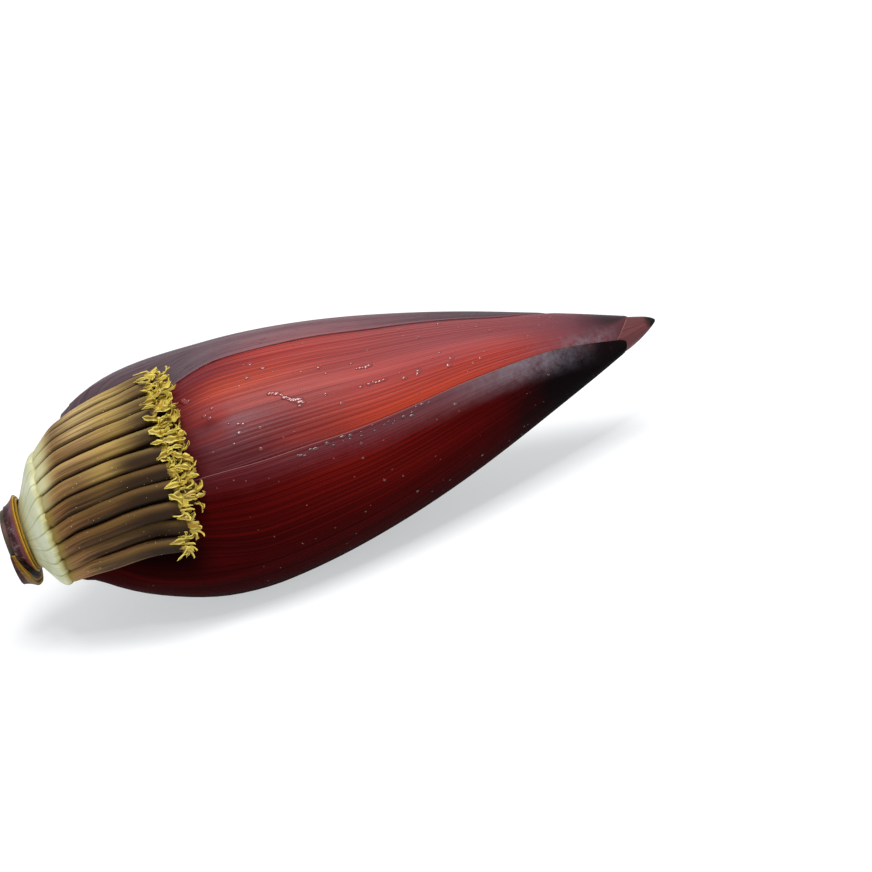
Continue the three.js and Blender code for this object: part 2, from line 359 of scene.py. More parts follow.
# camera, floor and lights
view = {
    "lens": 120, "sensor": 36, "distance": 1.1627,
    "height": 25, "roll": 18.8,  # both are angles, in degrees
    "aimAlong": 175.2, "aimBelow": 15.1, "farthest": 20,
}
studio = {
    "world": 0.38, "key": 17.2, "keySize": 0.7, "keyFrom": (0.2, -0.42, 1.27),
    "spark": 1.6, "sparkSize": 0.1, "sparkFrom": (0.1, -0.75, 1.1),
    "fill": 0.7, "fillSize": 1.2, "fillFrom": (-0.5, -1.0, 0.65), "lampsAim": (0, 0, 0.04),
    "floorSize": 6, "floorColour": (0.93, 0.94, 0.95, 1),
    "glowColour": (0.96, 0.985, 1, 1), "glowStrength": 1.25,
    "floorGlow": 0.42, "clearFrom": (0.2, 0.5),  # the glow's share near the bud, and where it becomes full
}


def aimedAt(target, source):
    return (Vector(target) - Vector(source)).to_track_quat("-Z", "Y").to_matrix().to_4x4()


def addCamera():
    data = bpy.data.cameras.new("camera")
    data.lens = view["lens"]
    data.sensor_width = view["sensor"]
    data.clip_end = view["farthest"]
    camera = bpy.data.objects.new("camera", data)
    bpy.context.scene.collection.objects.link(camera)
    tilt, roll = math.radians(view["height"]), math.radians(view["roll"])
    forward = Vector((0, math.cos(tilt), -math.sin(tilt)))
    up = Vector((0, math.sin(tilt), math.cos(tilt)))
    right = Vector((1, 0, 0))
    across = right * math.cos(roll) - up * math.sin(roll)
    above = right * math.sin(roll) + up * math.cos(roll)
    aim = Vector((cadBox[0][0] + view["aimAlong"] * mm, axisY, axisZ)) - up * view["aimBelow"] * mm
    turn = Matrix((across, above, -forward)).transposed().to_4x4()
    camera.matrix_world = Matrix.Translation(aim - forward * view["distance"]) @ turn
    bpy.context.scene.camera = camera
    bpy.context.scene.view_settings.view_transform = "Standard"


def addLamp(name, energy, size, source):
    data = bpy.data.lights.new(name, "AREA")
    data.energy = energy
    data.size = size
    lamp = bpy.data.objects.new(name, data)
    bpy.context.scene.collection.objects.link(lamp)
    lamp.matrix_world = Matrix.Translation(Vector(source)) @ aimedAt(studio["lampsAim"], source)


def seenDirectly(tree):
    # 1 for rays that should find a plain white surround.
    path = tree.nodes.new("ShaderNodeLightPath")
    total = path.outputs["Is Camera Ray"]
    for name in ("Is Glossy Ray", "Is Transmission Ray"):
        highest = tree.nodes.new("ShaderNodeMath")
        highest.operation = "MAXIMUM"
        tree.links.new(total, highest.inputs[0])
        tree.links.new(path.outputs[name], highest.inputs[1])
        total = highest.outputs[0]
    return total


def blendInto(tree, ending, share, first, second):
    # Ends a tree in a mix of two shaders; share is how much of the second.
    blend, output = tree.nodes.new("ShaderNodeMixShader"), tree.nodes.new(ending)
    for source, socket in zip((share, first.outputs[0], second.outputs[0]), blend.inputs):
        tree.links.new(source, socket)
    tree.links.new(blend.outputs[0], output.inputs["Surface"])


def addSurround():
    world = bpy.data.worlds.new("surround")
    bpy.context.scene.world = world
    tree = emptyTree(world)
    plain, white = tree.nodes.new("ShaderNodeBackground"), tree.nodes.new("ShaderNodeBackground")
    plain.inputs["Strength"].default_value = studio["world"]
    for background in (plain, white):
        background.inputs["Color"].default_value = (1, 1, 1, 1)
    blendInto(tree, "ShaderNodeOutputWorld", seenDirectly(tree), plain, white)


def addFloor():
    bm = bmesh.new()
    bmesh.ops.create_grid(bm, x_segments=1, y_segments=1, size=studio["floorSize"] / 2)
    mesh = bpy.data.meshes.new("floor")
    bm.to_mesh(mesh)
    bm.free()
    floor = bpy.data.objects.new("floor", mesh)
    bpy.context.scene.collection.objects.link(floor)
    material = bpy.data.materials.new("floor")
    tree = emptyTree(material)
    matt, glow = tree.nodes.new("ShaderNodeBsdfDiffuse"), tree.nodes.new("ShaderNodeEmission")
    matt.inputs["Color"].default_value = studio["floorColour"]
    glow.inputs["Color"].default_value = studio["glowColour"]
    glow.inputs["Strength"].default_value = studio["glowStrength"]
    onFloor = tree.nodes.new("ShaderNodeTexCoord")
    away = tree.nodes.new("ShaderNodeVectorMath")
    away.operation = "LENGTH"
    tree.links.new(onFloor.outputs["Object"], away.inputs[0])
    clear = tree.nodes.new("ShaderNodeMapRange")  # plain white away from the bud's shadow
    clear.interpolation_type = "SMOOTHSTEP"
    reach = (*studio["clearFrom"], studio["floorGlow"], 1)
    for name, value in zip(("From Min", "From Max", "To Min", "To Max"), reach):
        clear.inputs[name].default_value = value
    tree.links.new(away.outputs["Value"], clear.inputs["Value"])
    share = tree.nodes.new("ShaderNodeMath")
    share.operation = "MULTIPLY"
    tree.links.new(seenDirectly(tree), share.inputs[0])
    tree.links.new(clear.outputs[0], share.inputs[1])
    blendInto(tree, "ShaderNodeOutputMaterial", share.outputs[0], matt, glow)
    mesh.materials.append(material)


addCamera()
addSurround()
addFloor()
for lampName in ("key", "fill", "spark"):
    addLamp(lampName, studio[lampName], studio[lampName + "Size"], studio[lampName + "From"])
print("camera, floor and lights are in place")

# bracts
bracts = [
    {"name": "lower_bract", "start": 17.6, "from": -178, "to": 22, "tipAngle": -20, "tipAt": 259,
     "fine": (-178, 22), "step": 0.5},
    {"name": "upper_bract", "start": 18.9, "from": 82, "to": 242, "tipAngle": 150, "tipAt": 238,
     "fine": (82, 190), "step": 0.4},
    {"name": "front_bract", "start": 20.1, "from": -58, "to": 162, "tipAngle": 105, "tipAt": 263,
     "fine": (12, 92), "step": 0.36},
    {"name": "tip_bract", "start": 132, "from": -118, "to": 202, "tipAngle": 40, "tipAt": 273,
     "fine": (-118, 202), "step": 3},
]
bractPoint = 30  # the length over which a bract closes to its point
bractGrid = {
    "early": (11.5, 11.9, 12.6, 13.6, 15, 16.8, 19, 21.6, 24.6, 28, 32),  # rows at the foot
    "row": 5.2, "innerRow": 12, "pointRows": 26, "beforePoint": 8, "coarse": 2.6, "atMargin": 0.12,
}
leaf = {
    "full": 1.15, "atTip": 0.5, "thinning": (5, 30), "gap": 0.22, "outside": 7, "inside": 5,
    "margin": 0.42, "marginWidth": 7, "lip": 0.3, "lipWidth": 1.1,  # the margin is thin and rounded over
    "least": (0.5, 1.2),  # smallest radius inside and outside, at the very tip
}
wave = {"height": 1.1, "length": 26, "rise": (60, 90)}  # how the margins wander
drawnBack = {"by": 5, "fall": (75, 140)}  # the upper bract's margin near the florets
dent = {"depth": 0.7, "length": 55, "round": 1.2, "rise": (40, 90), "fall": (215, 250)}
ribs = {"pitch": 2.3, "depth": 0.22, "second": 0.35, "rise": (18, 60), "fall": (55, 8), "clear": (0.3, 5)}
foot = {"start": 11.5, "radius": 13.2, "end": 26}  # where the bracts grow from the neck
cushion = {"start": 17.6, "end": 25, "from": 21.2, "before": 0.05}  # rows of a bract pushed past the roots


def leafAt(x):
    return lerp(leaf["atTip"], leaf["full"], smoothstep(budRadius(x), *leaf["thinning"]))


def bractEdges(bract, x):
    # The angles of a bract's two margins, which meet at its point.
    s = clamp((x - bract["tipAt"] + bractPoint) / bractPoint, 0, 0.9995)
    closed = 1 - math.sqrt(1 - s * s)
    wander = wave["height"] * noise.noise((x / wave["length"], bract["from"], 0.3))
    wander *= smoothstep(x, *wave["rise"])
    start, end = bract["from"] + wander, bract["to"] - wander
    if bract["name"] == "upper_bract":
        start -= drawnBack["by"] * (1 - smoothstep(x, *drawnBack["fall"]))
    return lerp(start, bract["tipAngle"], closed), lerp(end, bract["tipAngle"], closed)


def insideOf(bract, x, angle):
    return min(insideBy(angle, *bractEdges(bract, x), max(budRadius(x), 3)), bract["tipAt"] - x)


def depthOf(layer, x, angle):
    # How thick the bracts over this layer are here.
    total = 0
    for bract in bracts[:layer]:
        covering = smoothstep(insideOf(bract, x, angle), -leaf["outside"], leaf["inside"])
        total += covering * (leafAt(x) + leaf["gap"])
    return total


def dents(x, angle):
    # The soft unevenness of the whole bud, always inwards.
    spin, size = math.radians(angle), dent["round"]
    where = Vector((x / dent["length"], size * math.cos(spin), size * math.sin(spin)))
    depth = dent["depth"] * (0.5 + 0.5 * noise.noise(where))
    return depth * smoothstep(x, *dent["rise"]) * (1 - smoothstep(x, *dent["fall"]))


def ribAt(layer, own, x):
    # How high the rib is, 1 on a crest and 0 in a groove, and how strong.
    warp = 0.5 * noise.noise((own / 6, x / 900, layer * 3.1))
    warp += 0.25 * noise.noise((own / 2.1, x / 700, layer))
    phase = 2 * math.pi * (own / ribs["pitch"] + warp)
    main, second = 0.5 + 0.5 * math.cos(phase), 0.5 + 0.5 * math.cos(2.17 * phase + 1.3)
    strong = 0.55 + 0.6 * noise.noise((own / 14, x / 60, 7.7 + layer))
    height = 1 - (1 - main) ** 1.6
    return lerp(height, second, ribs["second"]), clamp(strong, 0.15, 1)


def footRadius(x, full):
    # The quarter ellipse on which a bract leaves the neck.
    t = clamp((x - foot["start"]) / (foot["end"] - foot["start"]))
    return lerp(foot["radius"], full, math.sqrt(max(0, 1 - (1 - t) ** 2.2)))


def pastCushion(x, angle):
    # Beside the florets a bract starts beyond the cushion of their roots.
    start, end = cushion["start"], cushion["end"]
    if x > end:
        return x
    squeezed = lerp(cushion["from"], end, max(0, (x - start) / (end - start)))
    squeezed -= cushion["before"] * max(0, start - x)
    return lerp(x, squeezed, min(1, 2 * besideHand(x, angle)))


def bractRows(bract):
    early, step = list(bractGrid["early"]), bractGrid["row"]
    if bract["start"] > 100:  # an inner bract, hidden at its foot
        early, step = [bract["start"], bract["start"] + 6], bractGrid["innerRow"]
    pointStart, count = bract["tipAt"] - bractPoint - bractGrid["beforePoint"], bractGrid["pointRows"]
    body = stops(early[-1] + 4, pointStart, step)
    point = [lerp(pointStart, bract["tipAt"], math.sin(math.pi / 2 * i / count)) for i in range(count + 1)]
    return early + body + point


def bractColumns(bract):
    low, high = bract["fine"]
    coarse, beside = bractGrid["coarse"], bractGrid["atMargin"]
    columns = stops(bract["from"], low, coarse) if low > bract["from"] else []
    columns += stops(low, high, bract["step"])
    columns += stops(high, bract["to"], coarse) if high < bract["to"] else []
    if bract["step"] < 1:  # closer columns at a margin that shows
        columns = sorted(columns + [bract["from"] + beside, bract["to"] - beside])
    return columns + [bract["to"]]


def bractOuter(bract, layer, x, own):
    # The outside at one row and column: place, radius, distance from the margin, and the rib.
    t = (own - bract["from"]) / (bract["to"] - bract["from"])
    angle = lerp(*bractEdges(bract, x), t)
    x = pastCushion(x, angle)
    inside = max(0, insideOf(bract, x, angle))
    rib, strong = ribAt(layer, own, x)
    fading = [bract["tipAt"] - before for before in ribs["fall"]]
    fade = smoothstep(x, *ribs["rise"]) * (1 - smoothstep(x, *fading))
    groove = ribs["depth"] * strong * (1 - rib) * fade * smoothstep(inside, *ribs["clear"])
    full = budSurface(x, angle) - dents(x, angle) - depthOf(layer, x, angle)
    radius = footRadius(x, full) if x < foot["end"] else full
    lip = leaf["lip"] * (1 - smoothstep(inside, 0, leaf["lipWidth"])) ** 2
    return x, angle, max(radius - groove - lip, leaf["least"][1]), inside, lerp(1, rib, strong * fade)


def buildBract(bract, layer, look):
    bm = newMesh()

    def outer(row, own):
        x, angle, radius, inside, rib = bractOuter(bract, layer, row, own)
        return place(x, angle, radius), (x, own, inside), rib

    def inner(row, own):
        x, angle, radius, inside, rib = bractOuter(bract, layer, row, own)
        wall = lerp(leaf["margin"], leafAt(x), smoothstep(inside, 0, leaf["marginWidth"]))
        return place(x, angle, max(radius - wall, leaf["least"][0])), (x, own, inside), rib

    shell(bm, bractRows(bract), bractColumns(bract), outer, inner)
    finished(bm, bract["name"].replace("_bract", "_leaf"), [look], [bract["name"]])


def fibres(look, along, around):
    # Lengthwise streaks: broad ones, fine fibres, and thin straight threads.
    broad = look.noise(look.vector(along * 0.005, around * 0.42, 0.0), 1.0, 3.0, 0.55)
    fine = look.noise(look.vector(along * 0.013, around * 2.6, 4.0), 1.0, 2.0, 0.6)
    drift = look.noise(look.vector(along * 0.004, around * 0.5, 6.0), 1.0, 2.0, 0.5)
    strength = look.noise(look.vector(along * 0.02, around * 0.9, 7.0), 1.0, 2.0, 0.6)
    thread = look.maths("PINGPONG", around * 0.8 + drift * 1.6, 0.5) * 2
    return broad, fine, thread.rise(0.62, 0.95) * strength.rise(0.38, 0.62)


leather = {"pores": 900.0, "relief": 0.00012, "reliefStrength": 0.8, "coatRoughness": 0.28}
water = {"roughness": 0.05, "gloss": 0.6}


def leathery(look, colour, rough, along, around, shine=0.0, gloss=0.1):
    fine = look.noise(look.vector(along * 0.05, around * 4.5, 2.0), 1.0, 2.0, 0.5)
    pores = look.noise(look.object(), leather["pores"], 2.0, 0.6)
    relief = look.bump(fine * 0.7 + pores * 0.3, leather["relief"], leather["reliefStrength"])
    return look.skin({
        "Base Color": colour, "Roughness": rough, "Normal": relief, "Specular IOR Level": gloss,
        "Coat Weight": shine, "Coat Roughness": leather["coatRoughness"],
    })


def watery(look, below, deep, share):
    # A drop shows the skin below it, made deeper.
    colour = look.mix(below, deep, share)
    return look.skin({
        "Base Color": colour, "Roughness": water["roughness"], "Specular IOR Level": water["gloss"],
    })


def frontSkin(name="front_bract_skin", wet=False):
    look = Look(name)
    along, around, edge = look.spot()
    rib = look.attribute("rib")
    broad, fine, thread = fibres(look, along, around)
    blotch = look.noise(look.vector(along * 0.035, around * 0.11, 1.0), 1.0, 3.0, 0.5)
    streak = look.noise(look.vector(along * 0.007, around * 1.0, 12.0), 1.0, 3.0, 0.62)
    colour = look.mix("842320", "b2483f", broad.rise(0.3, 0.7))
    colour = look.mix(colour, "c45c50", fine.rise(0.45, 0.75) * 0.5)
    colour = look.mix(colour, "8c4c52", streak.rise(0.52, 0.64) * 0.5)
    colour = look.mix(colour, "a82e1c", streak.fall(0.36, 0.46) * 0.55)
    flame = along.hump(82.0, 104.0, 150.0) * around.hump(49.0, 61.0, 72.0) * (broad * 0.8 + 0.5)
    colour = look.mix(colour, "b84a2c", flame * 0.6)
    glow = along.hump(105.0, 170.0, 235.0) * around.fall(24.0, 40.0) * (broad * 0.8 + 0.5)
    colour = look.mix(colour, "b23c20", glow * 0.85)
    # painted sheen on the upper part of the bract
    sheen = along.rise(112.0, 200.0) * around.rise(34.0, 60.0) * 0.75
    colour = look.mix(colour, "8a4f54", sheen)
    purple = along.fall(98.0, 165.0) * around.fall(32.0, 62.0)
    colour = look.mix(colour, "3e0c11", purple * (blotch.rise(0.3, 0.6) * 0.35 + 0.65))
    # painted sheen on the rib crests in the purple part
    ridge = rib.rise(0.5, 1.0) * streak.rise(0.36, 0.56)
    colour = look.mix(colour, "743e45", purple * ridge * 0.55)
    # grey patches beside the crown: bloom, with painted sheen
    grey = along.hump(84.0, 95.0, 126.0) * around.hump(26.0, 42.0, 60.0) * blotch.rise(0.38, 0.6)
    colour = look.mix(colour, "7d545b", grey * 0.65)
    # painted shade just beyond the crown, and under the upper bract's margin near it
    colour = look.mix(colour, "46141a", along.fall(82.0, 100.0) * 0.75)
    colour = look.mix(colour, "6a242a", along.fall(92.0, 128.0) * around.rise(58.0, 74.0) * 0.8)
    bruise = along.hump(87.0, 94.0, 101.0) * around.hump(39.0, 45.0, 50.0)
    colour = look.mix(colour, "480e12", bruise * 0.6)
    # painted shade in the grooves between ribs
    colour = look.mix(colour, "480d10", (1 - rib) * 0.82)
    colour = look.mix(colour, "4e0e11", thread * 0.6)
    bloom = look.noise(look.object(), 60.0, 4.0, 0.6)
    colour = look.mix(colour, "5e353d", along.rise(206.0, 246.0) * 0.92)
    powder = look.noise(look.object(), 300.0, 6.0, 0.75)
    ashen = along.hump(218.0, 242.0, 262.0) * powder.rise(0.4, 0.62) * around.fall(0.0, 50.0)
    colour = look.mix(colour, "77747b", ashen * 0.75)
    charred = (along + (bloom - 0.5) * 20).rise(236.0, 258.0) * around.rise(-10.0, 50.0)
    colour = look.mix(colour, "2e1d22", (charred + along.rise(247.0, 261.0) * 0.7) * 0.85)
    colour = look.mix(colour, "b47a74", edge.fall(0.15, 0.5) * 0.6)
    if wet:
        return watery(look, colour, "6c100c", 0.62)
    rough = 0.4 + bloom * 0.16 + ashen * 0.15
    return leathery(look, colour, rough, along, around, 0.1, 0.05)


def lowerSkin(name="lower_bract_skin", wet=False):
    look = Look(name)
    along, around, edge = look.spot()
    rib = look.attribute("rib")
    broad, fine, thread = fibres(look, along, around)
    colour = look.mix("310404", "500807", broad.rise(0.3, 0.7))
    colour = look.mix(colour, "5c0b09", fine.rise(0.5, 0.75) * 0.5)
    # darker on the underside: partly its own colour, partly painted shade
    colour = look.mix(colour, "1c0709", around.fall(-70.0, 0.0) * around.rise(-178.0, -120.0) * 0.88)
    # lighter on the upper part, with painted highlights on the rib crests there
    upperPart = around.rise(-30.0, 5.0) * along.hump(90.0, 150.0, 215.0)
    colour = look.mix(colour, "62100c", upperPart * 0.5)
    colour = look.mix(colour, "741610", rib.rise(0.72, 1.0) * upperPart * 0.5)
    # painted shade in the grooves between ribs
    colour = look.mix(colour, "1e0305", (1 - rib) * 0.8)
    colour = look.mix(colour, "1c0305", thread * 0.6)
    mottle = look.noise(look.object(), 90.0, 4.0, 0.62)
    ragged = edge + (mottle - 0.5) * 6 + (broad - 0.5) * 5
    band = ragged.fall(1.5, 12.5) * around.rise(-60.0, -20.0)
    # nearly black under the florets: painted shade
    colour = look.mix(colour, "100304", along.fall(66.0, 84.0) * around.hump(-34.0, -22.0, 60.0) * 0.9)
    # the purple-grey band along the margin: waxy bloom, with painted sheen
    bandColour = look.mix("572229", "5c4147", along.rise(140.0, 215.0))
    bandColour = look.mix(bandColour, "8a5a5c", fine.rise(0.4, 0.7) * 0.4)
    bandColour = look.mix(bandColour, "3a1016", thread * 0.5)
    colour = look.mix(colour, bandColour, band * (0.4 + along.rise(95.0, 150.0) * 0.55))
    dark = (along + (mottle - 0.5) * 30 - edge.fall(0.0, 16.0) * 22).rise(190.0, 228.0)
    colour = look.mix(colour, "0a080a", dark * 0.97)
    bloom = look.noise(look.object(), 300.0, 6.0, 0.75)
    ashen = along.hump(178.0, 222.0, 250.0) * edge.fall(1.0, 12.0) * bloom.rise(0.24, 0.7)
    colour = look.mix(colour, "706c74", ashen * 0.8)
    colour = look.mix(colour, "9a6462", edge.fall(0.15, 0.45) * along.fall(190.0, 215.0) * 0.55)
    specks = look.cells(look.vector(along * 0.5, around * 0.45, 0.0), 0.35)
    colour = look.mix(colour, "9a5a55", specks.fall(0.03, 0.07) * 0.7)
    if wet:
        return watery(look, colour, "200507", 0.4)
    rough = 0.42 + mottle * 0.14 + ashen * 0.2
    return leathery(look, colour, rough, along, around, 0.0, 0.004)


def upperSkin():
    look = Look("upper_bract_skin")
    along, around, edge = look.spot()
    rib = look.attribute("rib")
    broad, fine, thread = fibres(look, along, around)
    mottle = look.noise(look.object(), 70.0, 4.0, 0.6)
    colour = look.mix("5f3c43", "7a5a61", broad.rise(0.3, 0.7))
    colour = look.mix(colour, "8a5357", edge.fall(2.0, 16.0) * along.hump(84.0, 130.0, 190.0) * 0.7)
    # pale fine streaks: waxy bloom, with painted highlight
    colour = look.mix(colour, "857a80", fine.rise(0.4, 0.7) * along.fall(120.0, 200.0) * 0.42)
    colour = look.mix(colour, "544a50", along.fall(84.0, 128.0) * around.fall(112.0, 128.0) * 0.8)
    colour = look.mix(colour, "6a2a2c", around.rise(118.0, 150.0) * broad.rise(0.35, 0.65) * 0.75)
    colour = look.mix(colour, "38343b", along.rise(150.0, 215.0) * 0.75)
    # painted shade in the grooves between ribs
    colour = look.mix(colour, "3c2329", (1 - rib) * 0.5)
    colour = look.mix(colour, "342026", thread * 0.45)
    scratch = look.noise(look.vector(along * 0.07, around * 2.6, 9.0), 1.0, 2.0, 0.5)
    colour = look.mix(colour, "24151b", scratch.rise(0.6, 0.68) * 0.6)
    nick = look.noise(look.vector(along * 0.2, around * 1.5, 14.0), 1.0, 3.0, 0.6)
    handled = look.noise(look.vector(along * 0.05, around * 0.1, 15.0), 1.0, 2.0, 0.5).rise(0.42, 0.6)
    colour = look.mix(colour, "2c1016", nick.rise(0.58, 0.64) * edge.hump(0.6, 2.0, 14.0) * handled * 0.8)
    colour = look.mix(colour, "8e6468", edge.fall(0.2, 0.6) * 0.5)
    return leathery(look, colour, 0.4 + mottle * 0.15, along, around, 0.0, 0.06)


def tipSkin():
    look = Look("tip_bract_skin")
    along, around, _ = look.spot()
    broad, fine, thread = fibres(look, along, around)
    mottle = look.noise(look.object(), 160.0, 4.0, 0.6)
    colour = look.mix("4e2526", "6c3d3f", broad.rise(0.3, 0.7))
    colour = look.mix(colour, "7c5254", fine.rise(0.45, 0.75) * 0.4)
    colour = look.mix(colour, "35161a", thread * 0.5)
    end = (along + (mottle - 0.5) * 6).rise(268.0, 271.5)
    colour = look.mix(colour, "0d0b0a", end)
    return leathery(look, colour, 0.42 + mottle * 0.15, along, around)


skins = [lowerSkin(), upperSkin(), frontSkin(), tipSkin()]
for layer, (bract, look) in enumerate(zip(bracts, skins)):
    buildBract(bract, layer, look)
print("the bracts are wrapped round the bud")

# neck and stalk
def floretMiddle(depth, i):
    # The angle of a floret's root. One of the inner row lies behind the gap between two of the outer row.
    apart = hand["apart"] / (depth + 1) if i == 0 else 0
    return hand["to"] - hand["share"] * (hand["counts"][depth] - i + (depth - 1) / 2) - apart


outerRoots = [floretMiddle(0, i) for i in range(hand["counts"][0])]
rootsAt = outerRoots + [floretMiddle(1, 0)]  # the inner one that shows in the widest gap


def offRoot(angle):
    # 0 on the middle of a floret's root and 1 between two of them.
    return min(1, min(abs((angle - root + 180) % 360 - 180) for root in rootsAt) / (hand["share"] / 2))


def besideRoots(x, angle):
    # 1 where the neck carries florets and 0 behind them.
    start, end = hand["from"] - neck["beyond"], hand["to"] + neck["beyond"]
    return smoothstep(insideBy(angle, start, end, max(handRadius(x), 14)), *neck["edge"])


def neckRadius(x, angle):
    between = 1 - math.sqrt(1 - neck["roundness"] * offRoot(angle) ** 2)
    groove = neck["scallop"] * between * smoothstep(x, *neck["scalloping"])
    groove += neck["line"] * between * smoothstep(x, *neck["lining"])
    uneven = neck["uneven"] * noise.noise((angle / neck["unevenEvery"], 2.0, 0.5))
    sink = neck["sunk"] * smoothstep(x + uneven, *neck["sink"])
    return lerp(neck["radius"], handRadius(x) - neck["under"] - groove - sink, besideRoots(x, angle))


def stalkSkin():
    look = Look("stalk_skin")
    along, around, radius = look.spot()
    inHand = look.attribute("rib")
    flow = (around + (19.0 - along) * 0.55 - outerRoots[-1]) / hand["share"]
    wave = look.noise(look.vector(along * 0.16, around * 0.05, 0.0), 1.0, 2.0, 0.5) - 0.5
    line = look.maths("PINGPONG", flow + wave * 0.2 + 0.5, 0.5) * 2
    half = look.maths("PINGPONG", flow * 2 + wave * 0.9 + 0.3, 0.5) * 2
    cream = look.noise(look.object(), 120.0, 3.0, 0.5)
    colour = look.mix("c0c49f", "d3d7bd", cream.rise(0.3, 0.7))
    colour = look.mix(colour, "cdc68c", along.fall(9.0, 13.0) * 0.8)
    streaks = look.noise(look.vector(along * 0.05, around * 0.9, 3.0), 1.0, 3.0, 0.6)
    colour = look.mix(colour, "b3b57e", streaks.rise(0.45, 0.75) * 0.35)
    colour = look.mix(colour, "84854e", line.fall(0.0, 0.2) * (0.35 + along.rise(14.0, 20.0) * 0.5) * inHand)
    colour = look.mix(colour, "97985c", half.fall(0.0, 0.12) * along.fall(11.0, 16.0) * 0.5 * inHand)
    high = around.rise(25.0, 80.0)
    wobble = look.noise(look.vector(around * 0.1, 0.0, 5.0), 1.0, 2.0, 0.5) - 0.5
    root = along - high * 0.8 + (streaks - 0.5) * 1.6 + wobble * 4.5
    rootColour = look.mix(look.mix("6e5a26", "b3aa70", high), "2c1d0c", line.fall(0.0, 0.3))
    colour = look.mix(colour, "c0be90", along.rise(17.0, 21.0) * high * inHand * 0.75)
    colour = look.mix(colour, "a39a4e", root.rise(18.4, 20.0) * (1 - high) * inHand * 0.6)
    colour = look.mix(colour, rootColour, root.rise(19.6, 21.8) * inHand * 0.95)
    back = (1 - inHand) * along.rise(8.0, 9.0)
    colour = look.mix(colour, look.mix("6b5326", "8d7a44", streaks.rise(0.3, 0.7)), back)
    stubSide = along.fall(6.5, 8.5)
    colour = look.mix(colour, look.mix("1f1110", "4a2c2c", cream.rise(0.35, 0.65)), stubSide * 0.95)
    cutFace = along.fall(0.5, 0.9)
    dots = look.cells(look.object(), 700.0)
    pith = look.mix("a58a4e", "c7b57c", cream.rise(0.35, 0.65))
    pith = look.mix(pith, "5e4422", dots.fall(0.12, 0.3) * 0.7)
    pith = look.mix(pith, "3b2417", radius.rise(9.0, 12.3))
    colour = look.mix(colour, pith, cutFace)
    height = streaks * 0.6 + cream * 0.4
    return look.skin({
        "Base Color": colour, "Roughness": 0.42 + cream * 0.12,
        "Normal": look.bump(height, 0.00015, 0.6), "Specular IOR Level": 0.15,
    })


stub = {
    "profile": (  # place along and radius, from the middle of the cut face
        (0, 0.0), (0, 5.0), (0, 9.0), (0, 11.2), (0.25, 12.1), (0.9, 12.8),
        (2.4, 12.7), (4.5, 12.6), (6.6, 12.6),
    ),
    "neckFrom": 7.6, "row": 0.55, "columns": 720, "closing": ((0.8, 11.0), (1.2, 0.0)),
}


def buildStalk():
    close = neck["close"]
    rows = list(stub["profile"])
    rows += [(x, None) for x in stops(stub["neckFrom"], close, stub["row"])] + [(close, None)]
    rows += [(close + beyond, radius) for beyond, radius in stub["closing"]]
    bm = newMesh()

    def move(s, turn):
        x, radius = rows[round(s * (len(rows) - 1))]
        angle = turn - 180
        if radius is None:
            radius = neckRadius(x, angle)
        inHand = besideRoots(max(x, neck["start"]), angle)
        return place(x, angle, radius), (x, angle, radius), inHand

    tube(bm, len(rows) - 1, stub["columns"], move)
    finished(bm, "neck", [stalkSkin()], ["stalk"])


buildStalk()
print("the neck and the stub of stalk are turned")

# bases of the two bracts that were cut away
bases = [
    {"name": "bract_base_upper", "from": -58, "to": 140, "foot": 14.2, "rim": 19.0, "thick": 3.2,
     "bentOut": False},
    {"name": "bract_base_lower", "from": -188, "to": -2, "foot": 18.5, "rim": 21.2, "thick": 3.4,
     "bentOut": True},
]
collar = {
    "bore": 12.5, "start": 0.2, "rimAt": 8.9, "slant": 1.7, "lip": 1.6, "seam": (2.2, 5.2), "seamGap": 0.3,
    "rows": 14, "rimRows": 8, "columns": 150, "horns": 0.97,  # how far the ends of the crescent thin out
    "wavy": 0.5, "fluted": 0.22, "uneven": 0.12, "ridge": 0.45, "groove": 0.4, "endFace": 0.02,
}


def seamAt(angle):
    # Where the upper base starts behind the lower one.
    return lerp(*collar["seam"], smoothstep(-angle, 0, 45))


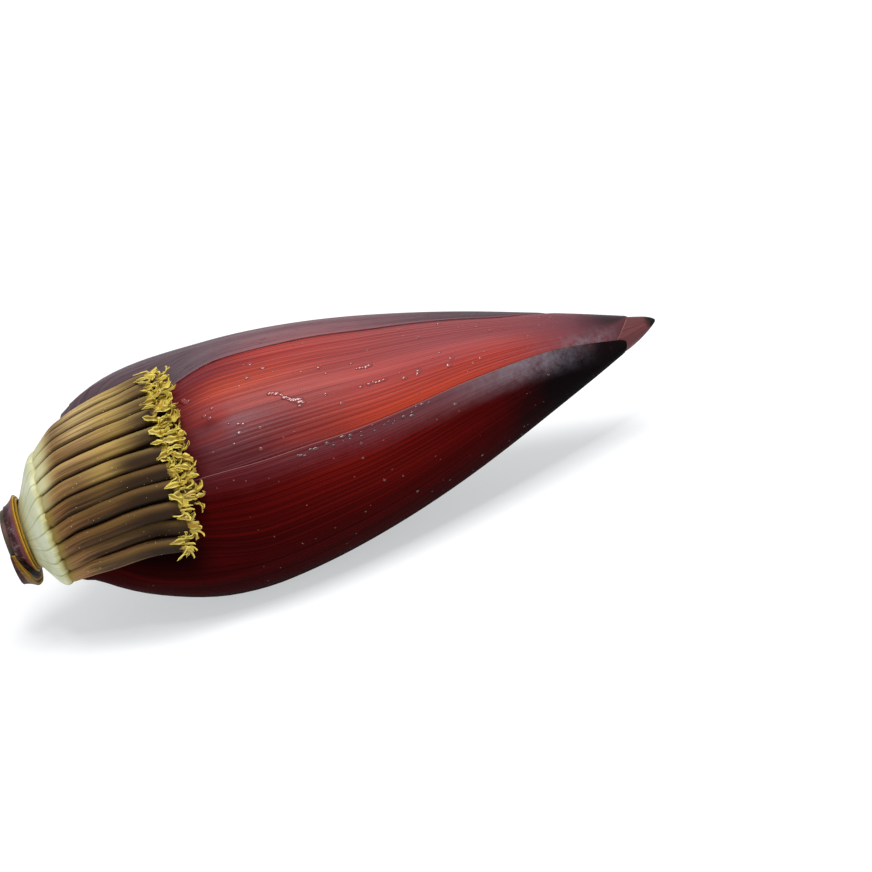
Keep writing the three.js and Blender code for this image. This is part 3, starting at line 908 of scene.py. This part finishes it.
def baseSkin(name, bentOut):
    look = Look(name)
    part, around, _ = look.spot()  # part: 0 to 1 outside, 1 to 2 the cut rim, 2 to 3 the hollow
    mottle = look.noise(look.object(), 260.0, 4.0, 0.62)
    grain = look.noise(look.vector(part * 0.7, around * 0.55, 0.0), 1.0, 3.0, 0.6)
    colour = look.mix("271514", "503335", mottle.rise(0.3, 0.7))
    if bentOut:  # so that its flesh shows
        flesh = look.mix("5e3d12", "8e6b25", grain.rise(0.3, 0.7))
        colour = look.mix(colour, flesh, part.rise(0.42, 0.56) * 0.95)
        colour = look.mix(colour, "3c220c", part.hump(0.7, 0.8, 0.9) * 0.4)
    else:
        colour = look.mix(colour, "7a424c", part.hump(0.45, 0.78, 0.96) * grain.rise(0.25, 0.5) * 0.8)
        scuffed = (mottle * 0.6 + grain * 0.4).rise(0.53, 0.62)
        colour = look.mix(colour, "867a7c", scuffed * part.fall(0.6, 0.85) * 0.6)
        colour = look.mix(colour, "9a4a18", part.hump(0.86, 0.96, 1.04) * 0.85)
    rim = part.rise(0.98, 1.04) * part.fall(1.94, 2.02)
    rimColour = look.mix("8f6a22", "6b4716", grain.rise(0.4, 0.65))
    rimColour = look.mix(rimColour, "b8963c", part.hump(1.06, 1.2, 1.36))
    rimColour = look.mix(rimColour, "4e2c0e", part.hump(1.3, 1.44, 1.58) * 0.95)
    rimColour = look.mix(rimColour, "b4923c", part.hump(1.54, 1.7, 1.84) * 0.8)
    rimColour = look.mix(rimColour, "3c2a10", part.rise(1.86, 1.98))
    colour = look.mix(colour, rimColour, rim)
    # the hollow: its own amber-brown, darkened by painted shade
    hollow = look.mix("140a04", "6e4c1a", grain.rise(0.45, 0.7))
    colour = look.mix(colour, hollow, part.rise(1.98, 2.1))
    return look.skin({
        "Base Color": colour, "Roughness": 0.34 + mottle * 0.2,
        "Normal": look.bump(mottle * 0.5 + grain * 0.5, 0.0003, 0.7), "Specular IOR Level": 0.05,
    })


def buildBase(base, look):
    bm = newMesh()
    rows, rimRows = collar["rows"], collar["rimRows"]
    total = 2 * rows + rimRows + 2

    def move(s, t):
        step = round(s * total)
        angle = lerp(base["from"], base["to"], t)
        full = math.sqrt(max(0, 1 - collar["horns"] * (2 * t - 1) ** 2))
        if base["bentOut"]:
            start, end, slant = collar["start"], seamAt(angle) + collar["lip"] * smoothstep(-angle, 60, 90), 0
        else:
            slant = collar["slant"] * full
            start, end = seamAt(angle) + collar["seamGap"], collar["rimAt"] - slant
        wavy = collar["wavy"] * noise.noise((angle / 17, base["foot"], 0.0))

        def outside(along):
            low = lerp(collar["bore"] + 0.7, base["foot"], full)
            high = lerp(collar["bore"] + 1.1, base["rim"] + wavy - 0.3, full)
            return lerp(low, high, along ** 1.5)

        def inside(along):
            outer = outside(along)
            hollow = max(collar["bore"], outer - base["thick"] * lerp(0.5, 1, full))
            return lerp(collar["bore"], hollow, along ** 0.8)

        if step <= rows:
            along = step / rows
            part, x, radius = along, lerp(start, end, along), outside(along)
            flutes = 1 - abs(math.cos(math.radians(angle * 9)))
            radius -= collar["fluted"] * flutes * math.sin(math.pi * along)
        elif step < rows + rimRows:
            share = (step - rows) / rimRows
            part, radius = 1 + share, lerp(outside(1), inside(1), share)
            ridge = math.sin(math.pi * share) * collar["ridge"]
            ridge -= collar["groove"] * math.exp(-((share - 0.45) / 0.13) ** 2)
            x = end + slant * share + ridge * full
        elif step <= 2 * rows + rimRows:
            along = 1 - (step - rows - rimRows) / rows
            part, x, radius = 3 - along, lerp(start, end + slant, along), inside(along)
        else:  # the end face, back to where it began
            last = step == total
            part, x, radius = (0, start, outside(0)) if last else (3, start, outside(0) - collar["endFace"])
        edge = noise.noise((x / 3, angle / 7, 4.4)) * collar["uneven"]
        return place(x, angle, radius + edge), (part, angle, radius), 1.0

    verts = spread(bm, total, collar["columns"], move)
    bmesh.ops.remove_doubles(bm, verts=verts, dist=weld)
    openEnds = [e for e in bm.edges if e.is_boundary]
    bmesh.ops.holes_fill(bm, edges=openEnds, sides=0)
    bmesh.ops.recalc_face_normals(bm, faces=bm.faces[:])
    name = base["name"].replace("bract_base", "collar")
    finished(bm, name, [look], [base["name"]], crease=70)


for base in bases:
    buildBase(base, baseSkin(base["name"] + "_skin", base["bentOut"]))
print("the cut bract bases are on the stub")

# florets
rowsOfFlorets = [
    {"name": "outer_floret", "end": 78, "top": (0.6, 0.0), "under": (5.4, 4.4)},
    {"name": "inner_floret", "end": 83, "top": (5.6, 1.2), "under": (10.1, 6.4)},
]
floret = {
    "rings": 46, "sides": 28, "square": 0.86, "halfWidth": 0.49, "widestGap": 0.55,
    "uneven": 0.05, "narrowed": 0.92, "narrowing": 16, "tapering": 20,
    "rootRound": 0.75, "rootUntil": (18, 24),
    "rootSunk": 0.9, "rising": (18.6, 22.4), "fuller": 0.45, "settling": (24, 38),
    "crease": 0.22, "bumps": 0.15,
}
crown = {
    "length": 8, "body": 3.6, "thick": 0.32, "room": 3.5, "steps": 14, "sides": 10,
    "scatter": 28, "flattened": 0.8, "lean": 0.55, "twist": 0.7, "startBend": 0.15,
    "uneven": 0.3, "frill": 0.3, "channel": 0.6,
    "lobes": (
        # turns round the floret, length, half width, how far it bends, and where along it the bend lies
        {"turns": (62, 118), "reach": (7.0, 10.8), "width": (0.9, 1.5), "bend": (2.4, 3.3),
         "at": (0.12, 0.5)},
        {"turns": (90,), "reach": (6.0, 8.0), "width": (1.1, 1.5), "bend": (0.2, 0.9), "at": (0.3, 1.0)},
        {"turns": (35, 145), "reach": (6.0, 8.5), "width": (0.8, 1.2), "bend": (0.5, 1.7), "at": (0.2, 0.9)},
        {"turns": (5, 175), "reach": (5.0, 7.5), "width": (0.8, 1.1), "bend": (0.8, 2.2), "at": (0.15, 0.8)},
        {"turns": (75, 105), "reach": (7.0, 9.5), "width": (0.4, 0.6), "bend": (0.6, 2.0), "at": (0.25, 1.0)},
        {"turns": (250, 300), "reach": (5.0, 7.0), "width": (0.9, 1.3), "bend": (0.1, 0.5), "at": (0.2, 1.0)},
    ),
}


def floretSkin():
    look = Look("floret_skin")
    along, turn, middle = look.spot()
    shade = look.attribute("rib")
    high = middle.rise(28.0, 58.0)
    lines = look.noise(look.vector(along * 0.014, turn * 0.05, shade * 40), 1.0, 3.0, 0.6)
    fine = look.noise(look.vector(along * 0.05, turn * 0.2, shade * 40), 1.0, 2.0, 0.6)
    blotch = look.noise(look.vector(along * 0.022, turn * 0.02, shade * 60), 1.0, 4.0, 0.6)
    crumbs = look.noise(look.object(), 1500.0, 2.0, 0.6)
    brown = look.mix("4a2e17", "7e5730", lines.rise(0.35, 0.65))
    golden = look.mix("735234", "ae8c5c", lines.rise(0.35, 0.65))
    colour = look.mix(brown, golden, high * 0.95)
    pale = middle.rise(58.0, 94.0) * lines.rise(0.15, 0.6) * along.fall(54.0, 72.0)
    colour = look.mix(colour, "cdb27c", pale * 0.85)
    colour = look.mix(colour, "a98d40", along.hump(42.0, 58.0, 76.0) * high * 0.5)
    colour = look.mix(colour, "a87e50", middle.fall(-20.0, -4.0) * 0.6)
    colour = look.mix(colour, "5e3c1c", along.hump(23.0, 32.0, 43.0) * middle.rise(56.0, 72.0) * 0.7)
    colour = look.mix(colour, "b89a58", fine.rise(0.5, 0.78) * (0.12 + high * 0.3))
    stain = (blotch + along * 0.004).rise(0.62, 0.74) * (1 - high * 0.7) * along.rise(24.0, 34.0)
    colour = look.mix(colour, "1f1a10", stain * 0.85)
    rows = look.maths("PINGPONG", turn * 0.06 + (lines - 0.5) * 1.4 + shade * 3, 0.5) * 2
    colour = look.mix(colour, look.mix("2e1d0b", "5c4420", high), rows.rise(0.7, 0.95) * 0.55)
    colour = look.mix(colour, "3a2710", along.rise(25.0, 40.0) * (1 - high) * 0.6)
    ripe = along.hump(36.0, 50.0, 62.0) * middle.hump(24.0, 42.0, 62.0)
    colour = look.mix(colour, "c2a45c", ripe * 0.4)
    ends = (along - high * 10 + (lines - 0.5) * 16).rise(46.0, 61.0) * (1 - middle.rise(60.0, 95.0) * 0.45)
    colour = look.mix(colour, "241506", ends * 0.9)
    # painted light on the upper side of each floret
    lit = turn.hump(98.0, 132.0, 184.0)
    colour = look.mix(colour, look.mix("96723e", "c8ae6c", high), lit * 0.3)
    # painted shade in the groove along each floret
    crease = look.maths("ABSOLUTE", turn - 194 + (fine - 0.5) * 12)
    inCrease = crease.fall(3.0, 12.0) * (1 - high * 0.6) * along.rise(24.0, 32.0)
    colour = look.mix(colour, "241609", inCrease * 0.6)
    # painted shade on the sides of each floret, down into the gaps between them
    sides = turn.rise(206.0, 252.0) + turn.fall(72.0, 104.0)
    colour = look.mix(colour, look.mix("140b04", "2a1a09", high), sides * 0.92)
    root = along - high * 3 + (lines - 0.5) * 3
    colour = look.mix(colour, "b8ad76", root.fall(19.5, 29.0) * (0.1 + high * 0.75) * (1 - sides * 0.7))
    colour = look.mix(colour, "8a7a35", root.fall(21.0, 25.5) * (1 - high) * 0.65)
    colour = look.mix(colour, "c4c39a", root.fall(20.0, 26.0) * high * 0.85 * (1 - sides * 0.8))
    # pale specks: painted glints of tiny drops, also smoother and raised in the bump
    specks = look.cells(look.vector(along * 1.0, turn * 0.06, shade * 9), 0.55)
    glintPatches = look.noise(look.object(), 90.0, 2.0, 0.5)
    spark = specks.fall(0.05, 0.1) * glintPatches.rise(0.42, 0.55)
    colour = look.mix(colour, "e8dcae", spark * 0.85)
    height = fine * 0.5 + crumbs * 0.3 + spark * 0.8
    return look.skin({
        "Base Color": colour, "Roughness": 0.55 - spark * 0.3,
        "Normal": look.bump(height, 0.00028, 0.8), "Specular IOR Level": 0.12,
    })


def lobeSkin():
    look = Look("lobe_skin")
    along, turn, width = look.spot()
    shade = look.attribute("rib")
    mottle = look.noise(look.object(), 420.0, 3.0, 0.6)
    colour = look.mix("967a18", "c4aa38", mottle.rise(0.3, 0.7))
    colour = look.mix(colour, "8a5c14", shade.rise(0.4, 1.0) * 0.65)
    # painted shade on the underside of each lobe; darker towards its root
    colour = look.mix(colour, "5e430c", turn.hump(200.0, 270.0, 340.0) * 0.6)
    colour = look.mix(colour, "624c12", along.fall(0.05, 0.45) * 0.85)
    brink = look.maths("ABSOLUTE", look.maths("COSINE", turn * (math.pi / 180))).rise(0.35, 0.85)
    colour = look.mix(colour, "dccf6a", brink * along.rise(0.15, 0.5) * 0.75)
    colour = look.mix(colour, "c0a446", width.fall(0.6, 0.7) * 0.6)
    return look.skin({
        "Base Color": colour, "Roughness": 0.42, "Normal": look.bump(mottle, 0.0002, 0.6),
        "Specular IOR Level": 0.25,
    })


def floretPoint(row, middle, end, wander, x, right=0.0):
    # A place on a floret, right degrees from its middle: x, angle, and the depths of its top and underside.
    share = clamp((x - hand["start"]) / (end - hand["start"]))
    angle = gathered(middle + right, x) + wander[0] * math.sin(math.pi * share)
    angle += wander[1] * smoothstep(share, 0.5, 1)
    top = lerp(*row["top"], smoothstep(x, end - 2 * crown["length"], end - 0.6 * crown["length"]))
    under = lerp(*row["under"], smoothstep(x, end - floret["tapering"], end))
    return x, angle, top, under


def addFloret(bm, row, middle, halfWidth, end, raised, rng):
    wander = (rng.uniform(-0.6, 0.6), rng.uniform(-0.9, 0.9))
    shade, sunk, ripple = rng.random(), rng.uniform(0, 0.6), rng.uniform(0, 6)
    bodyEnd = end - crown["body"]

    def body(s, turn):
        x = lerp(hand["start"], bodyEnd, min(s * 1.03, 1))
        right, up = math.sin(math.radians(turn)), -math.cos(math.radians(turn))
        width = halfWidth * (1.0 + floret["uneven"] * noise.noise((x / 9, ripple, middle)))
        width *= lerp(1, floret["narrowed"], smoothstep(x, bodyEnd - floret["narrowing"], bodyEnd))
        if s in (0, 1):  # the closed ends
            x, angle, top, under = floretPoint(row, middle, end, wander, x)
            tip = place(x + (0.8 if s else -0.3), angle, handRadius(x) - (top + under) / 2)
            return tip, (x, turn, middle), shade
        square = abs(right) ** floret["square"] * (1 if right > 0 else -1)
        x, angle, top, under = floretPoint(row, middle, end, wander, x, square * width)
        root = lerp(floret["rootRound"], 1, smoothstep(x, *floret["rootUntil"]))
        depth = (top + under) / 2 - up * root * (under - top) / 2
        sinking = floret["rootSunk"] * (1 - smoothstep(x, *floret["rising"]))
        depth += sinking - floret["fuller"] * (1 - smoothstep(x, *floret["settling"]))
        depth -= raised * (1.8 - 0.8 * smoothstep(x, 26, 40)) * (1 - smoothstep(x, 56, end))
        crease = math.exp(-((turn - 194) / 10) ** 2) - 0.5 * math.exp(-((turn - 220) / 14) ** 2)
        depth += floret["crease"] * crease * smoothstep(x, 24, 34) + sunk * smoothstep(x, 30, 50)
        depth += floret["bumps"] * (1 + noise.noise((x / 7, right, ripple)))
        return place(x, angle, handRadius(x) - depth), (x, turn, middle), shade

    tube(bm, floret["rings"], floret["sides"], body)
    ringX, ringAngle, top, under = floretPoint(row, middle, end, wander, bodyEnd - 1.2)
    base = localFrame(ringX, ringAngle, handRadius(ringX) - (top + under) / 2 - sunk)
    halfHigh, halfWide = 0.42 * (under - top), 0.55 * math.radians(halfWidth) * handRadius(ringX)
    for lobe in crown["lobes"]:
        for turn in lobe["turns"]:
            addLobe(bm, base, halfHigh, halfWide, lobe, turn, rng)


def boxSides(k):
    return cadBox[0][k] + boxMargin, cadBox[1][k] - boxMargin


def keptWhole(point):
    # Slows towards the sides of the frame's box, so that a lobe there bends and keeps its thickness.
    room = crown["room"] * mm
    for k in range(3):
        low, high = boxSides(k)
        low, high = low + room, high - room
        if point[k] > high:
            point[k] = high + room * (1 - math.exp((high - point[k]) / room))
        elif point[k] < low:
            point[k] = low - room * (1 - math.exp((point[k] - low) / room))
    return point


def addLobe(bm, base, halfHigh, halfWide, lobe, middle, rng):
    # A curled, channelled lobe of the flower: it runs ahead, bends outwards, and may fold right back.
    centre, ahead, out, aside = base
    turn = math.radians(middle + rng.uniform(-crown["scatter"], crown["scatter"]))
    outward = (aside * math.cos(turn) + out * math.sin(turn) * crown["flattened"]).normalized()
    start = centre + (aside * math.cos(turn) * halfWide + out * math.sin(turn) * halfHigh) * mm
    length, width = rng.uniform(*lobe["reach"]), rng.uniform(*lobe["width"])
    bendBy, lean = rng.uniform(*lobe["bend"]), rng.uniform(-crown["lean"], crown["lean"])
    twist, shade = rng.uniform(-crown["twist"], crown["twist"]), rng.random()
    flat = ahead.cross(outward).normalized()
    steps = crown["steps"]
    point, line = start.copy(), []
    for i in range(steps + 1):
        s = i / steps
        bend = crown["startBend"] + bendBy * smoothstep(s, *lobe["at"])
        heading = (ahead * math.cos(bend) + outward * math.sin(bend) + flat * lean * s * 1.6).normalized()
        line.append((point.copy(), heading))
        point = point + heading * (length / steps * mm)

    def move(s, around):
        here, heading = line[round(s * steps)]
        side = (flat - heading * flat.dot(heading)).normalized()
        face = side.cross(heading)
        spin = twist * s * 1.4
        wideAxis = side * math.cos(spin) + face * math.sin(spin)
        thinAxis = face * math.cos(spin) - side * math.sin(spin)
        a = math.radians(around)
        taper = 0 if s in (0, 1) else math.sin(math.pi * (0.2 + 0.8 * s)) ** 0.5
        w = width * taper * math.cos(a) * (1 + crown["uneven"] * math.sin(12 * s + lean * 5))
        frill = crown["frill"] * math.sin(16 * s + lean * 9) * math.cos(a)
        h = taper * (crown["thick"] * math.sin(a) - crown["channel"] * math.cos(a) ** 2 + frill)
        return keptWhole(here + (wideAxis * w + thinAxis * h) * mm), (s, around, width), shade

    tube(bm, steps, crown["sides"], move, finish=1)


def buildFlorets():
    looks = [floretSkin(), lobeSkin()]
    for depth, row in enumerate(rowsOfFlorets):
        for i in range(hand["counts"][depth]):
            rng = random.Random(100 * depth + i)
            middle = floretMiddle(depth, i)
            end = row["end"] - hand["shorter"] * smoothstep(-middle, -8, 14)
            bm = newMesh()
            raised = hand["raised"] * depth if i == 0 else 0
            halfWidth = hand["share"] * floret["widestGap" if raised else "halfWidth"]
            addFloret(bm, row, middle, halfWidth, end, raised, rng)
            for v in bm.verts:
                v.co = [clamp(v.co[k], *boxSides(k)) for k in range(3)]
            number = f"_{i + 1:02d}"
            name = row["name"].replace("_floret", "_flower") + number
            finished(bm, name, looks, [row["name"] + number], crease=75)


buildFlorets()
print("the two rows of florets are set, with their lobes")

# what is packed inside
def heartSkin():
    look = Look("heart_skin")
    mottle = look.noise(look.object(), 160.0, 3.0, 0.6)
    along = look.node("ShaderNodeSeparateXYZ", {}, {"Vector": look.object()})

    def beyond(start, end):
        return along.rise(cadBox[0][0] + start * mm, cadBox[0][0] + end * mm)

    colour = look.mix("cdb874", "e6dcae", mottle.rise(0.3, 0.7))
    youngBracts = look.mix("4a1c20", "6a3436", mottle.rise(0.3, 0.7))
    colour = look.mix(colour, youngBracts, beyond(190, 215))
    colour = look.mix(colour, "2e1517", beyond(250, 262))
    return look.skin({"Base Color": colour, "Roughness": 0.5 + mottle * 0.1, "Specular IOR Level": 0.05})


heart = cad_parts["bud_heart"]
heart.data.materials.clear()
heart.data.materials.append(heartSkin())
print("the heart of the bud has its colours")

# drops of water
drops = {
    "seed": 5, "rings": 8, "sides": 12, "uneven": 0.22, "sunk": 0.25, "flat": 0.42, "high": 0.5,
    "small": {"count": 70, "along": (92, 235), "around": (27, 78), "size": (0.3, 0.75), "longer": (1, 1.6)},
    "low": {"count": 30, "along": (90, 225), "around": (-60, 16), "size": (0.25, 0.4), "longer": (1, 1.5)},
    "chain": {"count": 26, "start": 122, "apart": 2.3, "around": 20, "slope": 0.012, "slopeFrom": 128},
    "perRun": 8, "runs": (  # drops that ran together: places along and round the bud
        ((119.5, 50.6), (123, 49.2), (125.5, 46), (128, 44.2), (130.5, 43.4)),
        ((126.5, 45), (129, 42.6), (131.2, 42)),
        ((154.7, 52.6), (160.8, 52.2)), ((157, 42), (164.5, 41.6)), ((86, 63.6), (88.2, 60.6)),
    ),
    "single": (
        (171, 39), (176, 38), (145, 36), (112.4, 36.3), (106.6, 40), (104, 37), (101, 33), (93.2, 50),
        (95, 48), (129.4, 40.6),
    ),
}


def surfaceOf(layer, x, angle):
    # The outside of a bract: radius, column and distance from the margin.
    bract = bracts[layer]
    start, end = bractEdges(bract, x)
    own = lerp(bract["from"], bract["to"], (angle - start) / (end - start))
    _, _, radius, inside, _ = bractOuter(bract, layer, x, own)
    return radius, own, inside


def addDrop(bm, layer, x, angle, length, width, height, rng):
    middleRadius = surfaceOf(layer, x, angle)[0]
    jitter = rng.uniform(0, 9)

    def move(s, turn):
        ring = math.sin(math.pi * s)
        a = math.radians(turn)
        wobble = 0
        if 0 < s < 1:
            wobble = 1 + drops["uneven"] * noise.noise((math.cos(a) * 1.3, math.sin(a) * 1.3, jitter))
        dx, dy = length * ring * math.cos(a) * wobble, width * ring * math.sin(a) * wobble
        level = math.cos(math.pi * s)
        rise = height * max(0, level) ** 0.8 if s < 0.5 else drops["sunk"] * level
        turned = angle + math.degrees(dy / middleRadius)
        radius, own, inside = surfaceOf(layer, x + dx, turned)
        return place(x + dx, turned, radius + rise), (x + dx, own, inside), 1.0

    tube(bm, drops["rings"], drops["sides"], move)


def scatterDrops(bm, layer, kind, rng):
    least, more = kind["size"]
    for _ in range(kind["count"]):
        x, angle = rng.uniform(*kind["along"]), rng.uniform(*kind["around"])
        size = least + more * rng.random() ** 3
        addDrop(bm, layer, x, angle, size * rng.uniform(*kind["longer"]), size, size * drops["flat"], rng)


def addRun(bm, run, rng):
    count = drops["perRun"]
    for (x, angle), (nextX, nextAngle) in zip(run, run[1:]):
        for i in range(count):
            part, size = (i + rng.random()) / count, 0.5 + 0.5 * rng.random()
            turn = lerp(angle, nextAngle, part) + rng.uniform(-0.45, 0.45)
            length = size * rng.uniform(1.2, 2.0)
            addDrop(bm, 2, lerp(x, nextX, part), turn, length, size * 0.9, size * drops["high"], rng)


def buildFrontDrops(rng):
    bm = newMesh()
    scatterDrops(bm, 2, drops["small"], rng)
    for run in drops["runs"]:
        addRun(bm, run, rng)
    for x, angle in drops["single"]:
        size = rng.uniform(0.5, 0.95)
        addDrop(bm, 2, x, angle, size * rng.uniform(1.1, 1.7), size, size * drops["high"], rng)
    finished(bm, "front_drops", [frontSkin("front_drop_water", True)], crease=80)


def buildLowerDrops(rng):
    bm, chain = newMesh(), drops["chain"]
    for i in range(chain["count"]):  # they hang along the lower bract's margin
        x = chain["start"] + chain["apart"] * i + rng.uniform(-1.6, 1.6)
        angle = chain["around"] - chain["slope"] * (x - chain["slopeFrom"]) + rng.uniform(-2.6, 1.2)
        size = 0.35 + 0.65 * rng.random() ** 1.6
        addDrop(bm, 0, x, angle, size * rng.uniform(1.2, 2.0), size * 0.7, size * drops["high"], rng)
    scatterDrops(bm, 0, drops["low"], rng)
    finished(bm, "lower_drops", [lowerSkin("lower_drop_water", True)], crease=80)


dropRng = random.Random(drops["seed"])
buildFrontDrops(dropRng)
buildLowerDrops(dropRng)
print("the drops are on the bracts")
